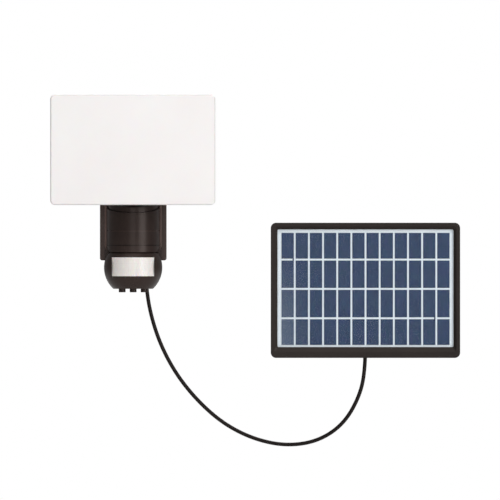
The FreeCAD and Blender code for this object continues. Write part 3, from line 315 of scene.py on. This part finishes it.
def opal_cover(name):
    """Opal acrylic: evenly milky, faintly cloudy in its depth, matt, with painted shade greying its rim near
    the front.
    """
    made = Recipe(name, Subsurface_Weight=0.12, Subsurface_Scale=0.003)
    low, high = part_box("light_diffuser")
    inner, outer = 1.3 * MM, 0.5 * MM
    x, y, z = made.axes()
    # Painted shade: the sides and foot of the rim near the front painted grey, its top more faintly.
    side = made.spread(made.maths("ABSOLUTE", x), high.x - inner, high.x - outer)
    foot = made.spread(z, low.z + inner, low.z + outer)
    crown = made.spread(z, high.z - inner, high.z - outer, 0.0, 0.3)
    near_front = made.spread(y, low.y + 2.4 * MM, low.y + 1.2 * MM)
    painted_rim_shade = made.times(made.maths("MAXIMUM", made.maths("MAXIMUM", side, foot), crown), near_front)
    cloud = made.clouded(14.0, 3.0, srgb(246, 241, 240), srgb(248, 244, 243))
    made.set("Base Color", made.mix(made.times(painted_rim_shade, 0.75), cloud, srgb(205, 202, 202)))
    made.set("Roughness", made.mottled(60.0, 3.0, 0.33, 0.40))
    made.bump(made.noise(3200.0, 2.0), 0.010 * MM, 0.3)
    made.bump(made.noise(35.0, 1.0), 0.15 * MM, 0.05)
    return made.material


def sensor_opal(name):
    """Thin milky polyethylene with a field of shallow lenses moulded inside, seen as a faint grid."""
    made = Recipe(name, Subsurface_Weight=0.15, Subsurface_Scale=0.002)
    low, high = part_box("sensor_lens")
    axis_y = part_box("sensor_front_shell")[1].y
    x, y, z = made.axes()
    angle = made.maths("ARCTAN2", x, made.maths("SUBTRACT", axis_y, y))
    columns = made.wave(angle, LENS_COLUMNS_PER_RADIAN)
    rows = made.maths("PINGPONG", made.spread(z, low.z, high.z, 0.0, LENS_ROWS), 0.5)
    line = made.maths("MAXIMUM", made.until(columns, 0.0, 0.06), made.until(rows, 0.0, 0.05))
    cloud = made.clouded(60.0, 2.0, srgb(238, 231, 227), srgb(242, 236, 232))
    made.set("Base Color", made.mix(made.times(line, 0.20), cloud, srgb(206, 198, 195)))
    rings = made.maths("PINGPONG", made.times(made.length(columns, rows), 14.0), 1.0)
    made.bump(rings, 0.03 * MM, 0.10)
    made.bump(line, 0.05 * MM, 0.2)
    made.set("Roughness", made.mottled(90.0, 2.0, 0.24, 0.30))
    return made.material


def plated_metal(name, colour, roughness, streak):
    """Plated or turned steel: fine drawn scratches one way, cloudy passivation and bright edges."""
    made = Recipe(name, Metallic=1.0)
    drawn = made.noise(420.0, 4.0, 0.7, made.stretched(*streak))
    cloud = made.noise(120.0, 3.0)
    tone = made.ramp(cloud, [(0.3, scaled(colour, 0.84)), (0.75, colour)])
    bright = made.times(made.edges(0.25 * MM), 0.5)
    made.set("Base Color", made.mix(bright, tone, scaled(colour, 1.3)))
    made.set("Roughness", made.spread(drawn, 0.25, 0.75, roughness - 0.08, roughness + 0.1))
    made.bump(drawn, 0.01 * MM, 0.4)
    return made.material


def rubber(name):
    """Black rubber with a dusty bloom and a soft grain."""
    made = Recipe(name, Specular_IOR_Level=0.35)
    bloom = made.spread(made.noise(130.0, 4.0, 0.65), 0.45, 0.8, 0.0, 0.5)
    made.set("Base Color", made.mix(bloom, srgb(27, 26, 26), srgb(62, 60, 59)))
    made.set("Roughness", made.mottled(300.0, 2.0, 0.56, 0.72))
    made.bump(made.noise(1700.0, 3.0), 0.03 * MM, 0.4)
    return made.material


def foam(name):
    """Grey closed-cell foam: little round pores in a matt skin."""
    made = Recipe(name, Specular_IOR_Level=0.2)
    pores = made.cells(1400.0)
    made.set("Base Color", made.ramp(pores, [(0.1, srgb(38, 39, 41)), (0.6, srgb(92, 94, 97))]))
    made.set("Roughness", made.spread(pores, 0.0, 0.6, 0.95, 0.8))
    made.bump(pores, 0.12 * MM, 0.6)
    return made.material


def lead_jacket(name):
    """Black PVC lead: satin, with drawn die lines along it and small scuffs."""
    made = Recipe(name, Specular_IOR_Level=0.22, Specular_Tint=WARM_SHEEN)
    around = made.node("UVMap").outputs[0]
    drawn = made.node("Mapping", {"Vector": around, "Scale": (26.0, 1.5, 1.0)}).outputs[0]
    lines = made.noise(1.0, 3.0, 0.6, drawn)
    scuffs = made.spread(made.noise(90.0, 4.0, 0.7), 0.6, 0.8, 0.0, 0.3)
    made.set("Base Color", made.mix(scuffs, srgb(20, 16, 15), srgb(46, 40, 38)))
    satin = made.spread(lines, 0.3, 0.7, 0.34, 0.44)
    made.set("Roughness", made.maths("ADD", satin, made.times(scuffs, 0.2)))
    made.bump(lines, 0.02 * MM, 0.2)
    made.bump(made.noise(1800.0, 2.0), 0.006 * MM, 0.2)
    return made.material


def circuit_board(name):
    """Green lacquered board with lighter tracks under the lacquer and tinned solder points."""
    made = Recipe(name, Coat_Weight=0.4, Coat_Roughness=0.15)
    track = made.until(made.cells(210.0, "DISTANCE_TO_EDGE"), 0.05, 0.075)
    solder = made.until(made.cells(330.0), 0.17, 0.20)
    lacquer = made.mix(track, srgb(16, 62, 34), srgb(38, 104, 58))
    made.set("Base Color", made.mix(solder, lacquer, srgb(196, 196, 190)))
    made.set("Metallic", solder)
    made.set("Roughness", made.mottled(500.0, 2.0, 0.28, 0.4))
    made.bump(made.maths("ADD", track, solder), 0.04 * MM, 0.5)
    return made.material


def light_board(name):
    """White lacquered aluminium board with wide copper areas showing faintly through the lacquer."""
    made = Recipe(name)
    copper = made.until(made.cells(70.0, "DISTANCE_TO_EDGE"), 0.04, 0.05)
    made.set("Base Color", made.mix(made.times(copper, 0.5), srgb(232, 232, 226), srgb(201, 202, 196)))
    made.set("Roughness", made.mottled(420.0, 3.0, 0.36, 0.5))
    made.bump(copper, 0.03 * MM, 0.5)
    return made.material


def from_nearest_chip(made, value, axis, count):
    """How far a place is from the middle of its LED chip along one axis, in chip heights."""
    low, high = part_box("led_chips")
    pitch = (high[axis] - low[axis] - CHIP_SIDE) / (count - 1)
    turns = made.maths("DIVIDE", made.maths("SUBTRACT", value, low[axis] + CHIP_SIDE / 2), pitch)
    off = made.maths("SUBTRACT", turns, made.maths("ROUND", turns))
    return made.times(off, pitch / (high.y - low.y))


def light_chips(name):
    """White LED packages, each with a round field of yellow phosphor in its middle."""
    made = Recipe(name)
    x, _, z = made.axes()
    away = made.length(from_nearest_chip(made, x, 0, CHIP_COLUMNS), from_nearest_chip(made, z, 2, CHIP_ROWS))
    field = made.until(away, 1.25, 1.4)
    grain = made.clouded(2600.0, 2.0, srgb(232, 190, 60), srgb(246, 214, 92))
    made.set("Base Color", made.mix(field, srgb(238, 238, 234), grain))
    made.set("Roughness", made.spread(field, 0.0, 1.0, 0.35, 0.55))
    made.bump(made.noise(2600.0, 2.0), 0.01 * MM, 0.3)
    return made.material


def white_plastic(name, colour, roughness):
    """Plain pale plastic, slightly cloudy, with a fine grain."""
    made = Recipe(name)
    made.set("Base Color", made.clouded(30.0, 3.0, scaled(colour, 0.96), scaled(colour, 1.03)))
    made.set("Roughness", made.mottled(90.0, 3.0, roughness - 0.05, roughness + 0.06))
    made.bump(made.noise(1500.0, 3.0), 0.02 * MM, 0.3)
    return made.material


def battery_wrap(name):
    """Puckered blue film shrunk round each cell, a pale band at each end of it, and bare nickelled ends."""
    made = Recipe(name)
    low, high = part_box("battery_cells")
    x = made.axes()[0]
    end = made.maths("MAXIMUM", made.until(x, low.x + 0.3 * MM, low.x + 0.4 * MM),
                     made.spread(x, high.x - 1.4 * MM, high.x - 1.3 * MM))
    band = made.spread(made.maths("ABSOLUTE", x), 15.5 * MM, 15.7 * MM)
    painted_haze = made.mix(band, srgb(46, 96, 118), srgb(205, 208, 206))
    puckers = made.noise(200.0, 3.0, 0.6, made.stretched(3.0, 0.6, 0.6))
    made.set("Base Color", made.mix(end, painted_haze, srgb(205, 200, 190)))
    made.set("Metallic", end)
    made.set("Roughness", made.spread(puckers, 0.3, 0.7, 0.22, 0.36))
    made.bump(puckers, 0.05 * MM, 0.35)
    return made.material


def sensor_can(name):
    """A nickelled sensor can with a dark filter window let into its front."""
    made = Recipe(name)
    low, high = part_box("motion_element")
    half_width, half_height, blur = 1.9 * MM, 1.4 * MM, 0.1 * MM
    x, y, z = made.axes()
    rise = made.maths("ABSOLUTE", made.maths("SUBTRACT", z, (low.z + high.z) / 2))
    window = made.times(
        made.until(made.maths("ABSOLUTE", x), half_width, half_width + blur),
        made.until(rise, half_height, half_height + blur),
        made.until(y, low.y + 0.5 * MM, low.y + 0.6 * MM))
    nickel = made.clouded(300.0, 3.0, srgb(178, 175, 166), srgb(206, 203, 196))
    made.set("Base Color", made.mix(window, nickel, srgb(34, 22, 38)))
    made.set("Metallic", made.maths("SUBTRACT", 1.0, window))
    made.set("Roughness", made.mottled(900.0, 2.0, 0.2, 0.34))
    return made.material


def light_cell(name):
    """A light-dependent resistor: a pink ceramic face with a dark winding track."""
    made = Recipe(name, Coat_Weight=0.6, Coat_Roughness=0.08)
    winding = made.wave(made.axes()[2], 1800.0)
    track = made.until(winding, 0.2, 0.3)
    made.set("Base Color", made.mix(track, srgb(201, 142, 110), srgb(104, 40, 26)))
    made.set("Roughness", made.mottled(2000.0, 2.0, 0.4, 0.55))
    made.bump(track, 0.02 * MM, 0.4)
    return made.material


def clear_glass(name):
    """Thin clear sheet: lets the light through, mirrors a little of the room, and carries a painted
    reflection, a streaky pale haze on its lower left.
    """
    made = Recipe(name, Specular_IOR_Level=0.8)
    low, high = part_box("panel_glass")
    x, _, z = made.axes()
    # Painted reflection: a streaky pale haze, strongest at the lower left.
    left = made.until(x, low.x, low.x + 40.0 * MM)
    lower = made.spread(z, high.z - 30.0 * MM, low.z)
    streaks = made.spread(made.noise(26.0, 4.0, 0.6, made.stretched(2.2, 1.0, 0.7)), 0.3, 0.75)
    painted_haze = made.times(left, lower, made.spread(streaks, 0.0, 1.0, 0.05, 0.14))
    made.set("Base Color", made.ramp(streaks, [(0.2, srgb(205, 214, 222)), (0.8, srgb(226, 232, 238))]))
    made.set("Roughness", made.mottled(60.0, 3.0, 0.05, 0.11))
    made.bump(made.noise(40.0, 2.0), 0.05 * MM, 0.05)
    clear = made.node("BsdfTransparent", {"Color": (0.982, 0.991, 0.996, 1.0)})
    gloss = made.node("Fresnel", {"IOR": 1.5}).outputs[0]
    outside = made.maths("SUBTRACT", 1.0, made.node("NewGeometry").outputs["Backfacing"])
    share = made.times(made.maths("ADD", made.times(gloss, 0.7), painted_haze), outside)
    blend = made.node("MixShader", {0: share, 1: clear.outputs[0], 2: made.shader.outputs[0]})
    made.feed(made.output.inputs["Surface"], blend.outputs[0])
    return made.material


def silicon(name):
    """Blue polycrystalline cells: large angular crystals, fine silver fingers, and a painted reflection
    paling the first column.
    """
    made = Recipe(name, Specular_IOR_Level=0.3)
    crystal = made.cells(190.0, output="Color", place=made.stretched(1.6, 1.0, 0.9))
    pick = made.node("SeparateColor", {0: crystal}).outputs[0]
    grains = made.ramp(pick, [
        (0.0, srgb(14, 40, 79)),
        (0.25, srgb(26, 50, 91)),
        (0.5, srgb(18, 52, 83)),
        (0.75, srgb(34, 50, 93)),
        (1.0, srgb(26, 60, 93)),
    ])
    cloud = made.mottled(45.0, 3.0, 0.0, 1.0)
    tone = made.mix(made.times(cloud, 0.45), grains, srgb(20, 50, 83))
    low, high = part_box("solar_cells")
    x, _, z = made.axes()
    # Painted reflection: the first column painted paler, more so towards the bottom, for the room mirrored
    # in the glass.
    first_column_reflection = made.times(
        made.until(x, low.x + 12.0 * MM, low.x + 17.0 * MM),
        made.spread(z, high.z - 30.0 * MM, low.z, 0.0, 0.55))
    tone = made.mix(first_column_reflection, tone, srgb(62, 86, 116))
    fingers = made.wave(z, 1 / FINGER_PITCH)
    made.set("Base Color", made.mix(made.spread(fingers, 0.0, 0.045, 0.35, 0.0), tone, srgb(120, 132, 150)))
    made.set("Roughness", made.spread(pick, 0.0, 1.0, 0.3, 0.46))
    made.bump(made.noise(2200.0, 2.0), 0.01 * MM, 0.3)
    return made.material


def tinned_ribbon(name):
    """Hot-tinned copper ribbon: bright, with long ripples of solder."""
    made = Recipe(name, Metallic=0.35)
    ripple = made.noise(240.0, 3.0, 0.6, made.stretched(3.0, 1.0, 0.4))
    made.set("Base Color", made.ramp(ripple, [(0.3, srgb(226, 231, 236)), (0.7, srgb(244, 247, 250))]))
    made.set("Roughness", made.spread(ripple, 0.3, 0.7, 0.32, 0.5))
    made.bump(ripple, 0.03 * MM, 0.5)
    return made.material


FINISHES = {
    "dark_housing": moulded_plastic("dark_housing", HOUSING, 0.30),
    "opal_cover": opal_cover("opal_cover"),
    "sensor_opal": sensor_opal("sensor_opal"),
    "plated_steel": plated_metal("plated_steel", srgb(198, 198, 192), 0.34, (6.0, 1.0, 0.3)),
    "screw_steel": plated_metal("screw_steel", srgb(186, 188, 190), 0.26, (1.0, 6.0, 1.0)),
    "black_rubber": rubber("black_rubber"),
    "foam_seal": foam("foam_seal"),
    "cable_jacket": lead_jacket("cable_jacket"),
    "circuit_board": circuit_board("circuit_board"),
    "aluminium_board": light_board("aluminium_board"),
    "led_phosphor": light_chips("led_phosphor"),
    "white_plastic": white_plastic("white_plastic", srgb(236, 236, 232), 0.42),
    "battery_wrap": battery_wrap("battery_wrap"),
    "holder_plastic": moulded_plastic("holder_plastic", srgb(34, 35, 38), 0.46),
    "sensor_metal": sensor_can("sensor_metal"),
    "light_cell": light_cell("light_cell"),
    "clear_glass": clear_glass("clear_glass"),
    "silicon_cell": silicon("silicon_cell"),
    "tinned_copper": tinned_ribbon("tinned_copper"),
}
OWN_FINISHES = {
    "base_shell": moulded_plastic("base_plastic", HOUSING, 0.30, base_painted_highlights),
    "neck_cover": moulded_plastic("neck_plastic", HOUSING, 0.30, neck_painted_light),
    "panel_frame": moulded_plastic("frame_plastic", srgb(32, 28, 26), 0.36),
    "panel_back_sheet": white_plastic("back_sheet", srgb(240, 246, 250), 0.35),
}


def finish_nodes():
    """Gives each carried-over node the finish of its slot, or one of its own."""
    for name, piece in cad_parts.items():
        slot = piece.material_slots[0]
        slot_name = slot.material.name.split(".")[0]
        slot.material = OWN_FINISHES.get(name) or FINISHES[slot_name]


# ---- meshes and pieces -----------------------------------------------------------------------------
def mesh_from(shape, name):
    """The finished mesh of a shape that was built up."""
    mesh = bpy.data.meshes.new(name)
    shape.to_mesh(mesh)
    shape.free()
    return mesh


def add_piece(name, mesh, slot):
    """Puts a mesh into the scene as a piece with the finish of a slot."""
    piece = bpy.data.objects.new(name, mesh)
    bpy.context.scene.collection.objects.link(piece)
    mesh.materials.append(FINISHES[slot])
    return piece


# ---- the lead --------------------------------------------------------------------------------------
def spline_line(route):
    """The smooth line that the route's points control."""
    curve = bpy.data.curves.new("lead_line", "CURVE")
    curve.dimensions = "3D"
    curve.resolution_u = LEAD_STEPS
    spline = curve.splines.new("NURBS")
    spline.points.add(len(route) - 1)
    for point, place in zip(spline.points, route):
        point.co = (*place, 1.0)
    spline.order_u = 3
    spline.use_endpoint_u = True
    holder = bpy.data.objects.new("lead_line", curve)
    line = bpy.data.meshes.new_from_object(holder)
    points = [vertex.co.copy() for vertex in line.vertices]
    bpy.data.objects.remove(holder)
    bpy.data.curves.remove(curve)
    bpy.data.meshes.remove(line)
    return points


def tube_mesh(name, points, radius, sides):
    """A closed round tube along points, without twist, with UVs that run once round it and along it."""
    shape = bmesh.new()
    uv = shape.loops.layers.uv.new("UVMap")
    side = Vector((1.0, 0.0, 0.0))
    rings = []
    travelled = [0.0]
    for number, point in enumerate(points):
        before = points[max(number - 1, 0)]
        after = points[min(number + 1, len(points) - 1)]
        along = (after - before).normalized()
        side = (side - along * side.dot(along)).normalized()
        other = along.cross(side)
        ring = []
        for step in range(sides):
            turn = math.tau * step / sides
            ring.append(shape.verts.new(point + radius * (math.cos(turn) * side + math.sin(turn) * other)))
        rings.append(ring)
        if number:
            travelled.append(travelled[-1] + (point - before).length)
    for number in range(len(rings) - 1):
        for step in range(sides):
            ahead = (step + 1) % sides
            corners = [(number, step, step), (number, ahead, step + 1),
                       (number + 1, ahead, step + 1), (number + 1, step, step)]
            face = shape.faces.new([rings[which][place] for which, place, _ in corners])
            face.smooth = True
            for loop, (which, _, turns) in zip(face.loops, corners):
                loop[uv].uv = (turns / sides, travelled[which] * LEAD_UV_PER_METRE)
    shape.faces.new(list(reversed(rings[0])))
    shape.faces.new(rings[-1])
    bmesh.ops.recalc_face_normals(shape, faces=shape.faces)
    return mesh_from(shape, name)


def make_lead():
    """The lead from the base's gland to the panel's, a round tube along a smooth fixed route."""
    points = spline_line(LEAD_ROUTE)
    tube = tube_mesh("solar_lead", points, LEAD_DIAMETER / 2, LEAD_SIDES)
    lead = add_piece("solar_lead", tube, "cable_jacket")
    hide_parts("solar_cable")
    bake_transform(lead)


# ---- small visible details -------------------------------------------------------------------------
def rounded_plate(shape, low, high, round_off):
    """Adds a flat block between two corners to a mesh, its edges eased."""
    made = bmesh.ops.create_cube(shape, size=1.0)
    size = high - low
    matrix = Matrix.Translation((low + high) / 2) @ Matrix.Diagonal((*size, 1.0))
    bmesh.ops.transform(shape, matrix=matrix, verts=made["verts"])
    edges = list({edge for vert in made["verts"] for edge in vert.link_edges})
    bmesh.ops.bevel(shape, geom=edges, offset=round_off, segments=2, affect="EDGES", profile=0.5)


def make_cell_bridges():
    """Two slivers of cell that join neighbouring columns at a gap, where the strings turn back."""
    low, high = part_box("solar_cells")
    gap = (high.z - low.z - sum(CELL_HEIGHTS)) / (len(CELL_HEIGHTS) - 1)
    overlap, margin = 0.2 * MM, 0.1 * MM
    shape = bmesh.new()
    for column, row in BRIDGE_PLACES:
        x = low.x + column * CELL_PITCH + CELL_WIDTH
        z = high.z - sum(CELL_HEIGHTS[:row + 1]) - row * gap
        near = Vector((x - BRIDGE_WIDTH, low.y + margin, z - gap - overlap))
        far = Vector((x + margin, high.y, z + overlap))
        rounded_plate(shape, near, far, 0.04 * MM)
    piece = add_piece("cell_bridges", mesh_from(shape, "cell_bridges"), "silicon_cell")
    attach(piece, "solar_panel")


# ---- floor, light and camera -----------------------------------------------------------------------
def make_floor():
    """A plain pale round floor below the object."""
    shape = bmesh.new()
    bmesh.ops.create_circle(shape, cap_ends=True, segments=FLOOR_SIDES, radius=FLOOR_RADIUS)
    mesh = mesh_from(shape, "floor")
    floor = bpy.data.objects.new("floor", mesh)
    bpy.context.scene.collection.objects.link(floor)
    floor.location.z = FLOOR_Z
    paint = Recipe("floor_paint", Specular_IOR_Level=0.2)
    paint.set("Base Color", paint.clouded(3.0, 3.0, srgb(232, 232, 231), srgb(238, 238, 237)))
    paint.set("Roughness", 0.75)
    mesh.materials.append(paint.material)


def softbox(name, azimuth, elevation, width, height, power):
    """A soft rectangular lamp aimed at the object, placed by its direction as seen from the object.

    Azimuth 0 is in front and 90 on the right. The lamp doesn't show in the picture.
    """
    lamp = bpy.data.lights.new(name, "AREA")
    lamp.shape = "RECTANGLE"
    lamp.size = width
    lamp.size_y = height
    lamp.energy = power
    holder = bpy.data.objects.new(name, lamp)
    bpy.context.scene.collection.objects.link(holder)
    turn, rise = math.radians(azimuth), math.radians(elevation)
    out = Vector((math.sin(turn) * math.cos(rise), -math.cos(turn) * math.cos(rise), math.sin(rise)))
    holder.location = Vector((VIEW_CENTRE[0], 0.0, VIEW_CENTRE[1])) + out * LAMP_AWAY
    holder.rotation_mode = "QUATERNION"
    holder.rotation_quaternion = out.to_track_quat("Z", "Y")
    holder.visible_camera = False


def glow(nodes, strength):
    """An even white light from all round."""
    made = nodes.new("ShaderNodeBackground")
    made.inputs["Color"].default_value = WHITE
    made.inputs["Strength"].default_value = strength
    return made.outputs[0]


def light_studio():
    """Five softboxes, and a world that is white behind the object and dim where it lights it."""
    softbox("front_fill", -3.0, 0.0, 1.1, 3.0, 15.0)
    softbox("key_strip", 40.0, 0.0, 1.6, 3.0, 52.0)
    softbox("top_front", 5.0, 48.0, 4.2, 1.8, 36.0)
    softbox("back_right", 162.0, 55.0, 2.5, 1.8, 26.0)
    softbox("back_left", -162.0, 55.0, 2.5, 1.8, 26.0)
    world = bpy.data.worlds.new("studio")
    world.use_nodes = True
    nodes, links = world.node_tree.nodes, world.node_tree.links
    nodes.remove(nodes["Background"])
    either = nodes.new("ShaderNodeMixShader")
    links.new(nodes.new("ShaderNodeLightPath").outputs["Is Camera Ray"], either.inputs[0])
    links.new(glow(nodes, ROOM_LIGHT), either.inputs[1])
    links.new(glow(nodes, BACKDROP_LIGHT), either.inputs[2])
    links.new(either.outputs[0], nodes["World Output"].inputs["Surface"])
    bpy.context.scene.world = world


def make_camera():
    """A camera straight in front and far away, so that depth hardly changes sizes in the picture."""
    camera = bpy.data.cameras.new("camera")
    camera.sensor_width = CAMERA_CHIP_MM
    camera.lens = CAMERA_CHIP_MM * CAMERA_AWAY / VIEW_WIDTH
    camera.clip_end = 3 * CAMERA_AWAY
    holder = bpy.data.objects.new("camera", camera)
    bpy.context.scene.collection.objects.link(holder)
    holder.location = (VIEW_CENTRE[0], -CAMERA_AWAY - FACE_DEPTH, VIEW_CENTRE[1])
    holder.rotation_euler = (math.radians(90.0), 0.0, 0.0)
    bpy.context.scene.camera = holder
    bpy.context.scene.view_settings.view_transform = "Standard"


make_camera()
finish_nodes()
make_lead()
make_cell_bridges()
make_floor()
light_studio()
